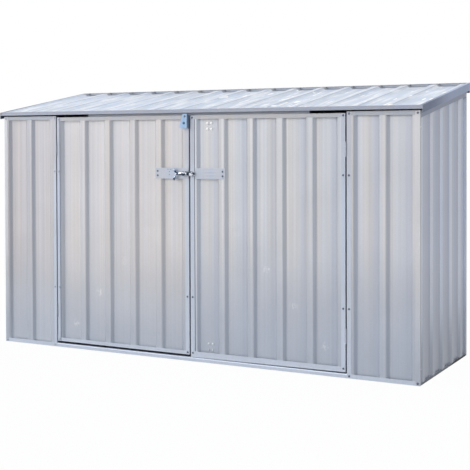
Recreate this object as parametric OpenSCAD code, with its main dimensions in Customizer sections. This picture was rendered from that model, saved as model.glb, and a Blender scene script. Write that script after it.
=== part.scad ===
// Low steel tool shed with a lean-to roof and a pair of hinged doors.
// x runs to the right, y to the back and z up; lengths in mm.
// The origin is the bottom centre of the bounding box.

/* [Walls] */
// Width over the two side walls
wall_w = 2230; // [1900:1:2800]
// Depth from the front plane to the back plane
wall_d = 735; // [600:1:1000]
// Height of the front wall
front_h = 1170; // [1000:1:1500]
// Slope of the side walls' top edge, degrees
wall_slope = 9; // [8:0.1:9.4]

/* [Ribbed sheet] */
// Sheet thickness
sheet_t = 0.8; // [0.6:0.1:1.2]
// Distance from rib to rib
rib_pitch = 148; // [120:1:180]
// Height of a rib
rib_depth = 10; // [7:0.5:14]
// Width of a rib's flat top
crest_w = 30; // [20:1:40]
// Run of a rib's sloping side
flank_w = 12; // [8:0.5:16]
// Shift of the ribs to the left on the left door and the left panel
rib_shift = 4; // [0:0.5:12]
// First rib on the side sheets, from the front plane
side_rib_start = 41; // [30:1:60]

/* [Channels] */
// Thickness of the folded channels
channel_t = 1; // [0.8:0.1:1.6]
// Clearance of a sheet in its channel
fit = 0.3; // [0.2:0.05:0.4]
// Height of the front and back base channels and the door sill
base_h = 19; // [15:1:30]
// Height of the side base channels
side_base_h = 8; // [6:1:30]
// Height of the front and back top channels
top_h = 18; // [14:1:26]
// Height of the sloping side top channels
side_top_h = 33; // [20:1:40]
// Width of the upright channels' flanges
stile_w = 20; // [16:1:28]

/* [Roof] */
// Slope of the roof, degrees
roof_slope = 9.6; // [8.5:0.05:14]
// Height of the roof sheet over the front wall
roof_lift = 12; // [9:0.5:20]
// Overhang at the front
front_over = 15; // [12:1:30]
// Overhang at the back
rear_over = 3; // [2:0.5:30]
// Overhang at each side
side_over = 16; // [12:1:30]
// Width of the barge caps' flange on the roof
barge_flange = 14; // [10:1:30]
// Width of the front cap's flange on the roof
front_flange = 8; // [6:0.5:16]
// Width of the back cap's flange on the roof
rear_flange = 5; // [4:0.5:16]
// Set-back of the roof sheets from the barge caps' faces
roof_inset = 5; // [2:0.5:8]
// Height of a barge cap at the front
barge_front_h = 33; // [28:1:45]
// Height of a barge cap at the back
barge_rear_h = 37; // [34:1:50]
// Height of the back cap
rear_cap_h = 50; // [40:1:70]
// Height of the front cap
front_cap_h = 16; // [14:0.5:20]
// Kick of the drip edge under the front cap
drip_out = 3.5; // [2:0.5:5]
// Height of the drip edge
drip_h = 6; // [4:0.5:8]

/* [Doors] */
// Width of the fixed wall at each side of the doors
panel_w = 330; // [270:1:420]
// Gap at each hinge side
hinge_gap = 7; // [6:0.5:9]
// Gap between the two doors
meeting_gap = 8; // [6:0.5:12]
// Place of that gap, to the left of the middle
meeting_x = 6; // [-20:0.5:20]
// Gap under the doors
sill_gap = 11.5; // [6:0.5:15]
// Gap from the top of the doors to the top of the front wall
head_gap = 7; // [5:0.5:12]
// Width of the flanges where the doors meet
meeting_w = 21; // [10:1:26]
// Height of the doors' bottom and top rails
rail_h = 18; // [14:1:26]
// Height of the lower brace
brace_low_z = 305; // [200:1:400]
// Height of the upper brace
brace_high_z = 891; // [600:1:920]
// Height of a brace's web
brace_h = 36; // [24:1:50]
// Depth of a brace
brace_d = 12; // [8:1:16]
// Set-back of the doors' braces from the door's edges
brace_inset = 3; // [2:0.5:6]

/* [Rails under the roof] */
// Length of the front rail
header_l = 1200; // [800:1:1500]
// Set-back of the front rail behind the doors
header_set = 8; // [6:0.5:40]
// Depth of the front rail's flange under the roof
header_flange = 24; // [16:1:30]
// Depth of the front rail's bottom flange
header_foot = 12; // [8:1:16]
// Lap of the front rail behind the top of the doors
header_lap = 6; // [4:1:12]
// Reach of the back rail's flange inside the wall
rail_reach = 8; // [6:1:16]

/* [Hinges] */
// Length of a hinge
hinge_len = 66; // [50:1:90]
// Height of the lower hinge
hinge_low_z = 185; // [120:1:240]
// Height of the upper hinge
hinge_high_z = 1005; // [900:1:1050]
// Radius of the knuckles
knuckle_r = 3; // [2.6:0.1:3.2]
// Radius of the pin
pin_r = 1.5; // [1.2:0.1:1.8]
// Thickness of the leaves
leaf_t = 1.2; // [0.8:0.1:1.4]

/* [Lock] */
// Height of the pad bolt
bolt_z = 889; // [700:1:940]
// Radius of the pad bolt
bolt_r = 7; // [5:0.25:8]
// Travel of the pad bolt
bolt_travel = 28; // [24:1:32]
// Thickness of the lock plates
plate_t = 1.5; // [1:0.1:2.5]
// Height of the lock plates
plate_h = 51; // [44:1:70]
// Reach of the left lock plate from the middle of the doors
plate_left = 195; // [170:1:210]
// Reach of the right lock plate from the middle of the doors
plate_right = 183; // [170:1:200]
// Space between the bolt and its plate
bolt_lift = 5; // [2:0.25:7]
// Width of the bolt's saddles
guide_w = 11; // [8:0.5:14]
// Space between the two saddles
guide_gap = 4; // [3:0.5:20]
// Thickness of the saddles around the bolt
guide_t = 3; // [2:0.25:4]
// Width of the keeper
keeper_w = 12; // [8:0.5:16]
// Space around the bolt in the keeper
keeper_gap = 2.5; // [2:0.25:4]
// Thickness of the keeper's strap
keeper_t = 1.8; // [1:0.1:2.5]
// Start of the right lock plate, beside the meeting flange
plate_inset = 26; // [24:0.5:40]
// Length of the beads pressed into the right lock plate
bead_len = 76; // [50:1:100]
// Half the height of a bead
bead_r = 2.5; // [1.5:0.25:4]
// Distance between the two beads
bead_pitch = 14; // [10:1:20]
// Length of the handle's arms
handle_len = 35; // [25:1:40]
// Angle of the handle's arms to the bolt
handle_angle = 56; // [30:1:75]
// Radius of the handle's arms
handle_r = 5; // [3:0.25:6]

/* [Catch tab] */
// Width of the tab's face at its top
tab_top_w = 18; // [18:1:40]
// Width of the tab's face at its foot
tab_low_w = 36; // [30:1:60]
// Length of the tab below the door's top
tab_drop = 54; // [40:1:80]
// Rise of the tab above the door's top
tab_rise = 7; // [2:0.5:8]
// Reach of the tab in front of the door
tab_reach = 19; // [10:0.5:22]
// Width of the tab's foot on the door
tab_foot = 18; // [12:1:22]
// Radius of the hole in the tab
tab_hole = 4; // [2:0.25:5]
// Distance of the hole from the tab's fold
tab_hole_x = 13; // [10:0.5:20]
// Height of the hole over the tab's lower edge
tab_hole_z = 22; // [12:0.5:40]

/* [Shoot bolts] */
// Distance of the shoot bolts from the middle of the doors
shoot_x = 100; // [85:1:110]
// Width of a shoot bolt's back plate
shoot_w = 34; // [28:1:40]
// Height of a shoot bolt's back plate
shoot_h = 46; // [42:1:90]
// Length of a shoot bolt's guides
shoot_guide = 10; // [8:1:14]
// Radius of a shoot bolt's rod
shoot_r = 4; // [3:0.25:5]
// Distance of a shoot bolt's rod from the end of the door's frame
shoot_end = 58; // [25:1:80]

/* [Hidden] */
$fn = 48;
skin = 0.1;
wall_t = rib_depth + sheet_t + 2 * (channel_t + fit);
seat = channel_t + fit;
half_w = wall_w / 2;
half_o = half_w - panel_w;
half_r = half_w + side_over;
rear_h = wall_top(wall_d - wall_t);
door_z0 = base_h + sill_gap;
door_z1 = front_h - head_gap;
door_h = door_z1 - door_z0;
roof_zr0 = front_h + roof_lift;
roof_n = (rib_depth + sheet_t) / cos(roof_slope);
roof_y0 = drip_out + channel_t + 2 - front_over;
roof_y1 = wall_d + rear_over - channel_t - 1.5;
seam_x = 2.5 * rib_pitch;
header_y = wall_t + header_set;
header_z = door_z1 - header_lap;
hinge_y = -knuckle_r / 2;
door_x = hinge_gap - half_o;
left_mid = meeting_gap / 2 + meeting_x;
right_mid = meeting_gap / 2 - meeting_x;
panel_in = half_w - half_o - 2 * (stile_w + fit);
bolt_y = -(plate_t + bolt_r + bolt_lift);
bolt_tip = -left_mid - 2;
guide_b = bolt_tip - guide_w;
guide_a = guide_b - guide_gap - guide_w;
root_x = guide_a - bolt_travel - handle_r;
keeper_x = right_mid + 4;
keeper_room = bolt_r + keeper_gap;
front_reach = keeper_room + keeper_t - bolt_y;
plan_mid = (wall_d + rear_over - front_reach) / 2;
shoot_y = seat + rib_depth + sheet_t + skin;
rod_y = shoot_y + plate_t + shoot_r + 2;
shoot_top_z = header_z - shoot_h - shoot_guide - 6;
shoot_low_z = door_z0 + rail_h + shoot_end;

// Width of a door whose edge is this far from the middle
function door_w(mid) = half_o - hinge_gap - mid;
// Length of that door's rails
function rail_l(mid) = door_w(mid) - stile_w - meeting_w - 2 * fit;
// Top of the side walls at depth y
function wall_top(y) = front_h + tan(wall_slope) * y;
// Underside of the roof sheet at depth y
function roof_under(y) = roof_zr0 + tan(roof_slope) * y;
// Top of the roof's ribs at depth y
function roof_top(y) = roof_under(y) + roof_n;
// Depth of the ribbed profile, u from the start of a crest
function rib_y(u) =
    let (m = u - rib_pitch * floor(u / rib_pitch))
    m <= crest_w ? 0
    : m <= crest_w + flank_w ? rib_depth * (m - crest_w) / flank_w
    : m <= rib_pitch - flank_w ? rib_depth
    : rib_depth * (rib_pitch - m) / flank_w;
// Outline of a sheet w wide whose first crest starts at x = first
function rib_line(w, first) = concat(
    [[0, rib_y(-first)]],
    [
        for (k = [-1 - ceil(abs(first) / rib_pitch) : 1 + ceil((w + abs(first)) / rib_pitch)])
        for (o = [0, crest_w, crest_w + flank_w, rib_pitch - flank_w])
        let (x = first + k * rib_pitch + o)
        if (x > 0.05 && x < w - 0.05) [x, rib_y(x - first)]
    ],
    [[w, rib_y(w - first)]]);
// First crest of a front sheet w wide, whose ends are both crests
function front_first(w, shift) =
    (w - rib_pitch * floor((w - crest_w / 2) / rib_pitch) - crest_w) / 2 - shift;

// Moves the front plane from y = 0 to its place in the frame
module place() {
    translate([0, -plan_mid, 0]) children();
}

// Extrudes a (y, z) outline along x
module along_x(len) {
    rotate([90, 0, 90]) linear_extrude(len) children();
}

// Mirrors across the middle of the shed
module flip() {
    mirror([1, 0, 0]) children();
}

// Ribbed sheet outline, ribs towards -y
module sheet_2d(w, first) {
    line = rib_line(w, first);
    last = len(line) - 1;
    polygon(concat(line, [for (i = [last : -1 : 0]) line[i] + [0, sheet_t]]));
}

// Channel outline with its web at x = 0 and flanges towards +x
module channel_2d(flange) {
    difference() {
        square([flange, wall_t]);
        translate([channel_t, channel_t]) square([flange, wall_t - 2 * channel_t]);
    }
}

// Channel along x, web down, from x0
module channel_up(x0, len, h) {
    translate([x0, 0, 0])
        along_x(len)
        difference() {
            square([wall_t, h]);
            translate([channel_t, channel_t]) square([wall_t - 2 * channel_t, h]);
        }
}

// Channel along x, web up, its top at z1
module channel_down(x0, len, h, z1) {
    translate([x0, 0, z1 - h])
        along_x(len)
        difference() {
            square([wall_t, h]);
            translate([channel_t, -channel_t]) square([wall_t - 2 * channel_t, h]);
        }
}

// Upright channel with its web at x0, flanges towards +x
module upright(x0, h, flange) {
    translate([x0, 0, 0]) linear_extrude(h) channel_2d(flange);
}

// Mirrors the front wall's layout to the back plane
module at_back() {
    translate([0, wall_d, 0]) mirror([0, 1, 0]) children();
}

module front_sheet(x0, w, z0, h, shift = rib_shift) {
    translate([x0, seat, z0]) linear_extrude(h) sheet_2d(w, front_first(w, shift));
}

module front_left_panel() {
    color("silver")
        place()
        front_sheet(seat - half_w, half_w - half_o - 2 * seat, seat, front_h - 2 * seat);
}

module front_right_panel() {
    color("silver")
        place()
        front_sheet(half_o + seat, half_w - half_o - 2 * seat, seat, front_h - 2 * seat, 0);
}

// Side sheet on the left, cut along the slope
module side_sheet() {
    w = wall_d - 2 * (wall_t + fit);
    y0 = wall_t + fit;
    difference() {
        translate([seat - half_w, y0, seat])
            rotate([0, 0, 90])
            mirror([0, 1, 0])
            linear_extrude(rear_h)
            sheet_2d(w, side_rib_start - y0);
        translate([-half_w - 5, 0, 0])
            along_x(wall_t + 10)
            polygon([
                [0, wall_top(0) - seat],
                [wall_d, wall_top(wall_d) - seat],
                [wall_d, 2 * rear_h],
                [0, 2 * rear_h]
            ]);
    }
}

module left_side_panel() {
    color("silver") place() side_sheet();
}

module right_side_panel() {
    color("silver") place() flip() side_sheet();
}

// Back sheet from x0, its ribs in step with the seams
module rear_sheet(x0, w) {
    place()
        at_back()
        translate([x0, seat, seat])
        linear_extrude(rear_h - 2 * seat)
        sheet_2d(w, -seam_x - crest_w / 2 - x0);
}

module rear_left_panel() {
    color("silver") rear_sheet(seat - half_w, half_w - seat - seam_x - fit);
}

module rear_middle_panel() {
    color("silver") rear_sheet(-seam_x, 2 * seam_x);
}

module rear_right_panel() {
    color("silver") rear_sheet(seam_x + fit, half_w - seat - seam_x - fit);
}

// Roof sheet from x0, ribs up, laid on the slope
module roof_sheet(x0, w) {
    run = (roof_y1 - roof_y0) / cos(roof_slope);
    place()
        translate([x0, roof_y0, roof_under(roof_y0)])
        rotate([roof_slope, 0, 0])
        translate([0, run, 0])
        rotate([90, 0, 0])
        linear_extrude(run)
        translate([0, rib_depth + sheet_t])
        mirror([0, 1])
        sheet_2d(w, -seam_x - crest_w / 2 - x0);
}

module roof_left_sheet() {
    color("gainsboro") roof_sheet(roof_inset - half_r, half_r - roof_inset - seam_x - fit);
}

module roof_middle_sheet() {
    color("gainsboro") roof_sheet(-seam_x, 2 * seam_x);
}

module roof_right_sheet() {
    color("gainsboro") roof_sheet(seam_x + fit, half_r - roof_inset - seam_x - fit);
}

// Height of the caps' lower and upper faces over the ribs at depth y
function cap_low(y) = roof_top(y) + fit;
function cap_top(y) = roof_top(y) + fit + channel_t;

module front_roof_cap() {
    ya = drip_out - front_over;
    yb = ya + channel_t;
    yc = ya + front_flange;
    zf = cap_top(ya) - front_cap_h;
    zk = zf + drip_h;
    half_in = half_r - barge_flange - fit;
    half_face = half_r - channel_t - fit;
    color("lightsteelblue")
        place()
        union() {
            translate([-half_in, 0, 0])
                along_x(2 * half_in)
                polygon([
                    [ya, cap_low(ya)], [yc, cap_low(yc)], [yc, cap_top(yc)], [ya, cap_top(ya)]
                ]);
            translate([-half_face, 0, 0])
                along_x(2 * half_face)
                polygon([
                    [-front_over, zf], [channel_t - front_over, zf], [yb, zk],
                    [yb, cap_top(yb)], [ya, cap_top(ya)], [ya, zk]
                ]);
        }
}

module rear_roof_cap() {
    ya = wall_d + rear_over;
    yb = ya - channel_t;
    yc = ya - rear_flange;
    half_in = half_r - barge_flange - fit;
    half_face = half_r - channel_t - fit;
    color("lightsteelblue")
        place()
        union() {
            translate([-half_in, 0, 0])
                along_x(2 * half_in)
                polygon([
                    [yc, cap_low(yc)], [ya, cap_low(ya)], [ya, cap_top(ya)], [yc, cap_top(yc)]
                ]);
            translate([-half_face, 0, 0])
                along_x(2 * half_face)
                polygon([
                    [yb, cap_top(ya) - rear_cap_h], [ya, cap_top(ya) - rear_cap_h],
                    [ya, cap_top(ya)], [yb, cap_top(yb)]
                ]);
        }
}

// Barge cap on the left
module barge_cap() {
    ya = -front_over;
    yb = wall_d + rear_over;
    fall = (barge_rear_h - barge_front_h) / (yb - ya);
    yi = drip_out - front_over + channel_t + fit;
    yj = yb - channel_t - fit;
    za = cap_top(ya) - barge_front_h;
    zb = cap_top(yb) - barge_rear_h;
    zj = cap_top(yj) - barge_front_h - fall * (yj - ya);
    translate([-half_r, 0, 0])
        union() {
            along_x(channel_t)
                polygon([[ya, za], [yb, zb], [yb, cap_top(yb)], [ya, cap_top(ya)]]);
            along_x(barge_flange)
                polygon([[yi, cap_low(yi)], [yj, cap_low(yj)], [yj, cap_top(yj)], [yi, cap_top(yi)]]);
            along_x(side_over / 2)
                polygon([[ya, za], [yj, zj], [yj, zj + channel_t], [ya, za + channel_t]]);
        }
}

module left_barge_cap() {
    color("lightsteelblue") place() barge_cap();
}

module right_barge_cap() {
    color("lightsteelblue") place() flip() barge_cap();
}

module front_base_channels() {
    color("lightsteelblue")
        place() {
            channel_up(stile_w + fit - half_w, panel_in, base_h);
            channel_up(half_o + stile_w + fit, panel_in, base_h);
        }
}

module door_sill() {
    color("lightsteelblue")
        place() {
            channel_down(fit - half_o, half_o - 1.5 * fit, base_h, base_h);
            channel_down(fit / 2, half_o - 1.5 * fit, base_h, base_h);
        }
}

// Base channel under the left side wall
module side_base() {
    len = wall_d - 2 * (wall_t + fit);
    translate([-half_w, wall_t + fit + len, 0])
        rotate([90, 0, 0])
        linear_extrude(len)
        difference() {
            square([wall_t, side_base_h]);
            translate([channel_t, channel_t]) square([wall_t - 2 * channel_t, side_base_h]);
        }
}

module left_base_channel() {
    color("lightsteelblue") place() side_base();
}

module right_base_channel() {
    color("lightsteelblue") place() flip() side_base();
}

module rear_base_channel() {
    color("lightsteelblue")
        place()
        at_back()
        channel_up(stile_w + fit - half_w, wall_w - 2 * (stile_w + fit), base_h);
}

module front_top_channels() {
    color("lightsteelblue")
        place() {
            channel_down(stile_w + fit - half_w, panel_in, top_h, front_h);
            channel_down(half_o + stile_w + fit, panel_in, top_h, front_h);
        }
}

// Sloping top channel on the left side wall
module side_top() {
    ya = wall_t + fit;
    yb = wall_d - wall_t - fit;
    translate([-half_w, 0, 0])
        difference() {
            along_x(wall_t)
                polygon([
                    [ya, wall_top(ya) - side_top_h], [yb, wall_top(yb) - side_top_h],
                    [yb, wall_top(yb)], [ya, wall_top(ya)]
                ]);
            translate([channel_t, 0, 0])
                along_x(wall_t - 2 * channel_t)
                polygon([
                    [0, wall_top(0) - 2 * side_top_h], [wall_d, wall_top(wall_d) - 2 * side_top_h],
                    [wall_d, wall_top(wall_d) - channel_t], [0, wall_top(0) - channel_t]
                ]);
        }
}

module left_top_channel() {
    color("lightsteelblue") place() side_top();
}

module right_top_channel() {
    color("lightsteelblue") place() flip() side_top();
}

module rear_top_channel() {
    color("lightsteelblue")
        place()
        at_back()
        channel_down(stile_w + fit - half_w, wall_w - 2 * (stile_w + fit), top_h, rear_h);
}

// Rail that carries the roof's back end
module rear_roof_rail() {
    ya = wall_d - wall_t;
    yb = wall_d;
    yc = ya - rail_reach;
    yd = yb - channel_t;
    z0 = rear_h + fit;
    half_in = half_w - wall_t - fit;
    color("lightsteelblue")
        place()
        translate([-half_in, 0, 0])
        along_x(2 * half_in)
        polygon([
            [ya, z0], [yb, z0], [yb, roof_under(yb) - fit], [yc, roof_under(yc) - fit],
            [yc, roof_under(yc) - seat], [yd, roof_under(yd) - seat],
            [yd, z0 + channel_t], [ya, z0 + channel_t]
        ]);
}

// Rail behind the doors that carries the roof's front end
module door_header() {
    ya = header_y;
    yb = ya + channel_t;
    yc = ya + header_flange;
    yd = ya + header_foot;
    color("lightsteelblue")
        place()
        translate([-header_l / 2, 0, 0])
        along_x(header_l)
        polygon([
            [ya, header_z], [yd, header_z], [yd, header_z + channel_t], [yb, header_z + channel_t],
            [yb, roof_under(yb) - seat], [yc, roof_under(yc) - seat],
            [yc, roof_under(yc) - fit], [ya, roof_under(ya) - fit]
        ]);
}

// Jamb channel at the left of the doorway
module jamb() {
    mirror([1, 0, 0]) upright(half_o, front_h, stile_w);
}

module left_jamb() {
    color("lightsteelblue") place() jamb();
}

module right_jamb() {
    color("lightsteelblue") place() flip() jamb();
}

module front_corner_channels() {
    color("lightsteelblue")
        place() {
            upright(-half_w, front_h, stile_w);
            flip() upright(-half_w, front_h, stile_w);
        }
}

module rear_corner_channels() {
    color("lightsteelblue")
        place()
        at_back() {
            upright(-half_w, rear_h, stile_w);
            flip() upright(-half_w, rear_h, stile_w);
        }
}

// Brace behind a sheet, web against the flanges
module brace(x0, len, z) {
    translate([x0, wall_t + skin, z - brace_h / 2])
        along_x(len)
        difference() {
            square([brace_d, brace_h]);
            translate([channel_t, channel_t]) square([brace_d, brace_h - 2 * channel_t]);
        }
}

module front_panel_braces() {
    len = half_w - half_o - wall_t - 2 * fit;
    color("lightsteelblue")
        place()
        for (z = [brace_low_z, brace_high_z]) {
            brace(wall_t + fit - half_w, len, z);
            flip() brace(wall_t + fit - half_w, len, z);
        }
}

// Outline of a hinge leaf, its web side at x = side
module leaf_plate(side, cuts) {
    x0 = side * (hinge_gap / 2 - skin) - (side > 0 ? leaf_t : 0);
    third = hinge_len / 3;
    difference() {
        translate([x0, 0, 0]) cube([leaf_t, wall_t - 1, hinge_len]);
        for (c = cuts)
            translate([x0 - 1, -1, c * third - fit])
                cube([leaf_t + 2, knuckle_r + 1.6, third + 2 * fit]);
    }
}

// Leaf on the jamb with two knuckles and the pin
module jamb_leaf(z) {
    third = hinge_len / 3;
    translate([-half_o + hinge_gap / 2, hinge_y, z - hinge_len / 2])
        union() {
            leaf_plate(-1, [1]);
            cylinder(r = knuckle_r, h = third);
            translate([0, 0, 2 * third]) cylinder(r = knuckle_r, h = third);
            cylinder(r = pin_r, h = hinge_len);
        }
}

// Leaf on the door with the middle knuckle
module door_leaf(z) {
    third = hinge_len / 3;
    translate([-half_o + hinge_gap / 2, hinge_y, z - hinge_len / 2])
        difference() {
            union() {
                leaf_plate(1, [0, 2]);
                translate([0, 0, third + fit]) cylinder(r = knuckle_r, h = third - 2 * fit);
            }
            translate([0, 0, third - 1]) cylinder(r = pin_r + 0.15, h = third + 2);
        }
}

module jamb_hinge_leaves() {
    color("gray")
        place()
        for (z = [hinge_low_z, hinge_high_z]) {
            jamb_leaf(z);
            flip() jamb_leaf(z);
        }
}

module left_door_hinge_leaves() {
    color("gray") place() for (z = [hinge_low_z, hinge_high_z]) door_leaf(z);
}

module right_door_hinge_leaves() {
    color("gray") place() flip() for (z = [hinge_low_z, hinge_high_z]) door_leaf(z);
}

module left_door_sheet() {
    color("silver")
        place()
        front_sheet(door_x + seat, door_w(left_mid) - 2 * seat, door_z0 + seat, door_h - 2 * seat);
}

module right_door_sheet() {
    color("silver")
        place()
        front_sheet(right_mid + seat, door_w(right_mid) - 2 * seat, door_z0 + seat, door_h - 2 * seat,
            0);
}

// Both stiles of a door on the left
module door_stiles(mid) {
    translate([0, 0, door_z0]) {
        upright(door_x, door_h, stile_w);
        mirror([1, 0, 0]) upright(mid, door_h, meeting_w);
    }
}

module left_door_stiles() {
    color("lightsteelblue") place() door_stiles(left_mid);
}

module right_door_stiles() {
    color("lightsteelblue") place() flip() door_stiles(right_mid);
}

// Both rails of a door on the left
module door_rails(mid) {
    translate([0, 0, door_z0]) channel_up(door_x + stile_w + fit, rail_l(mid), rail_h);
    channel_down(door_x + stile_w + fit, rail_l(mid), rail_h, door_z1);
}

module left_door_rails() {
    color("lightsteelblue") place() door_rails(left_mid);
}

module right_door_rails() {
    color("lightsteelblue") place() flip() door_rails(right_mid);
}

// Both braces of a door on the left
module door_braces(mid) {
    for (z = [brace_low_z, brace_high_z])
        brace(door_x + brace_inset, door_w(mid) - 2 * brace_inset, z);
}

module left_door_braces() {
    color("lightsteelblue") place() door_braces(left_mid);
}

module right_door_braces() {
    color("lightsteelblue") place() flip() door_braces(right_mid);
}

// Saddle that guides the bolt, from x0, with its bore
module saddle(x0) {
    r = bolt_r + guide_t;
    translate([x0, 0, bolt_z])
        difference() {
            union() {
                translate([0, bolt_y, 0]) rotate([0, 90, 0]) cylinder(r = r, h = guide_w);
                translate([0, bolt_y, -r]) cube([guide_w, -plate_t / 2 - bolt_y, 2 * r]);
            }
            translate([-1, bolt_y, 0]) rotate([0, 90, 0]) cylinder(r = bolt_r + fit, h = guide_w + 2);
        }
}

// Plate across a door's face from x0
module lock_plate(x0, len, h) {
    translate([x0, -plate_t - skin, bolt_z - h / 2]) cube([len, plate_t, h]);
}

module left_lock_plate() {
    color("lightgray")
        place()
        union() {
            lock_plate(-plate_left, plate_left - left_mid - 2, plate_h);
            saddle(guide_a);
            saddle(guide_b);
        }
}

// Folded strap that takes the shot bolt, open at both ends
module keeper() {
    outer = keeper_room + keeper_t;
    translate([keeper_x, -front_reach, bolt_z - outer])
        difference() {
            cube([keeper_w, front_reach - plate_t / 2, 2 * outer]);
            translate([-1, keeper_t, keeper_t]) cube([keeper_w + 2, front_reach, 2 * keeper_room]);
        }
}

// Bead along the right lock plate, at height z from its middle
module plate_bead(z) {
    x0 = (plate_inset + plate_right - bead_len) / 2;
    translate([x0, -plate_t - skin, bolt_z + z])
        rotate([0, 90, 0])
        scale([1, 0.5, 1])
        cylinder(r = bead_r, h = bead_len);
}

module right_lock_plate() {
    color("lightgray")
        place()
        union() {
            lock_plate(plate_inset, plate_right - plate_inset, plate_h);
            lock_plate(right_mid + 2, plate_inset - right_mid, 2 * (keeper_room + keeper_t));
            keeper();
            for (side = [-1, 1]) plate_bead(side * bead_pitch / 2);
        }
}

// Bolt with a chamfered tip and a forked handle whose arms end in balls
module pad_bolt() {
    chamfer = bolt_r / 4;
    color("white")
        place()
        translate([root_x, bolt_y, bolt_z])
        union() {
            rotate([0, 90, 0]) cylinder(r = bolt_r, h = bolt_tip - root_x - chamfer);
            translate([bolt_tip - root_x - chamfer, 0, 0])
                rotate([0, 90, 0])
                cylinder(r1 = bolt_r, r2 = bolt_r - chamfer, h = chamfer);
            for (side = [-1, 1])
                rotate([0, side * handle_angle - 90, 0]) {
                    cylinder(r = handle_r, h = handle_len);
                    translate([0, 0, handle_len]) sphere(r = handle_r + 1.5);
                }
        }
}

// Folded pull tab at the top of the left door's meeting edge: foot, web and tapered face
module door_catch_tab() {
    za = door_z1 - tab_drop;
    zc = door_z1 + tab_rise;
    color("skyblue")
        place()
        translate([-left_mid, -skin, 0])
        difference() {
            intersection() {
                translate([0, 0, za])
                    linear_extrude(zc - za)
                    polygon([
                        [-tab_foot, 0], [-plate_t, 0], [0, 0], [0, -tab_reach], [-tab_low_w, -tab_reach],
                        [-tab_low_w, plate_t - tab_reach], [-plate_t, plate_t - tab_reach],
                        [-plate_t, -plate_t], [-tab_foot, -plate_t]
                    ]);
                translate([0, 1, 0])
                    rotate([90, 0, 0])
                    linear_extrude(tab_reach + 2)
                    polygon([[-tab_low_w, za], [0, za], [0, zc], [-tab_top_w, zc]]);
            }
            translate([-tab_hole_x, plate_t - tab_reach / 2, za + tab_hole_z])
                rotate([90, 0, 0])
                cylinder(r = tab_hole, h = tab_reach);
        }
}

// Back plate of a shoot bolt with two guides, from z
module shoot_plate(z) {
    margin = shoot_guide / 2;
    guide_r = rod_y - shoot_y - plate_t / 2;
    difference() {
        union() {
            translate([shoot_x - shoot_w / 2, shoot_y, z]) cube([shoot_w, plate_t, shoot_h]);
            for (g = [margin, shoot_h - margin - shoot_guide])
                translate([shoot_x, rod_y, z + g]) cylinder(r = guide_r, h = shoot_guide);
        }
        translate([shoot_x, rod_y, z - 1]) cylinder(r = shoot_r + fit, h = shoot_h + 2);
    }
}

// Rod of a shoot bolt with its knob between the guides, from z
module shoot_rod(z) {
    len = shoot_h + 2 * shoot_guide;
    translate([shoot_x, rod_y, z]) {
        cylinder(r = shoot_r, h = len);
        translate([0, 0, len / 2]) rotate([-90, 0, 0]) cylinder(r = shoot_r - 1, h = 4 * shoot_r);
    }
}

module shoot_bolt_plates() {
    color("gray")
        place() {
            shoot_plate(shoot_top_z);
            shoot_plate(shoot_low_z);
        }
}

module shoot_bolt_rods() {
    color("gray")
        place() {
            shoot_rod(shoot_top_z - shoot_guide);
            shoot_rod(shoot_low_z - shoot_guide);
        }
}

front_left_panel();
front_right_panel();
left_side_panel();
right_side_panel();
rear_left_panel();
rear_middle_panel();
rear_right_panel();
roof_left_sheet();
roof_middle_sheet();
roof_right_sheet();
front_roof_cap();
rear_roof_cap();
left_barge_cap();
right_barge_cap();
front_base_channels();
door_sill();
left_base_channel();
right_base_channel();
rear_base_channel();
front_top_channels();
left_top_channel();
right_top_channel();
rear_top_channel();
rear_roof_rail();
door_header();
left_jamb();
right_jamb();
front_corner_channels();
rear_corner_channels();
front_panel_braces();
jamb_hinge_leaves();
left_door_sheet();
left_door_stiles();
left_door_rails();
left_door_braces();
left_door_hinge_leaves();
left_lock_plate();
door_catch_tab();
pad_bolt();
right_door_sheet();
right_door_stiles();
right_door_rails();
right_door_braces();
right_door_hinge_leaves();
right_lock_plate();
shoot_bolt_plates();
shoot_bolt_rods();
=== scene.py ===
import math
import random

import bmesh
import bpy
from mathutils import Matrix, Vector


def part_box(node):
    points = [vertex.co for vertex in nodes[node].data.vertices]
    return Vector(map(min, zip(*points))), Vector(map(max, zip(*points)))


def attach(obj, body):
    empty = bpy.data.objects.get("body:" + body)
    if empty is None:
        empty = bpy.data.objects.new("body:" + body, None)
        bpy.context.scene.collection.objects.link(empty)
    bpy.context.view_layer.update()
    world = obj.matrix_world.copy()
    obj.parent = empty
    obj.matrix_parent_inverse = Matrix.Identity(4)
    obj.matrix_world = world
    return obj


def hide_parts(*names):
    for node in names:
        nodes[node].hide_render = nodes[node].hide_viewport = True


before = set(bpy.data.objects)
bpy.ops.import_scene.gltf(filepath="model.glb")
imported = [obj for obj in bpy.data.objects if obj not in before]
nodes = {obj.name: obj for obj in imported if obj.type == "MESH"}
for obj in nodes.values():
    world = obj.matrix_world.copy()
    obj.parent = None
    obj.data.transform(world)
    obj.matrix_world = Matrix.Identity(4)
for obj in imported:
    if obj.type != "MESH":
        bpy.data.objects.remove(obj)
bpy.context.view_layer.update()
SEED = 7
draw = random.Random(SEED)

# The front plane, the shed's ends and the ribs of its sheets, in metres
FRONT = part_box("left_jamb")[0].y
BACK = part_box("rear_corner_channels")[1].y
LEFT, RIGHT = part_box("front_corner_channels")[0].x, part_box("front_corner_channels")[1].x
WALL_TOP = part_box("left_jamb")[1].z
SHEET_FACE = FRONT + 0.011
PLATE_FACE = FRONT - 0.0015
RIB_PITCH = 0.148
CREST = 0.030
RIB_SHIFT = 0.004
SIDE_RIB_START = 0.041
SEAM_RIB = -2.5 * RIB_PITCH - CREST / 2
MEETING_FLANGE = 0.021
BRACE_HEIGHTS = (0.305, 0.891)

# The pull tab and the pad bolt
TAB_LOW, TAB_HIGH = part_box("door_catch_tab")
BOLT_LOW, BOLT_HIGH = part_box("pad_bolt")
BOLT_AXIS_Z = (BOLT_LOW.z + BOLT_HIGH.z) / 2

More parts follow.
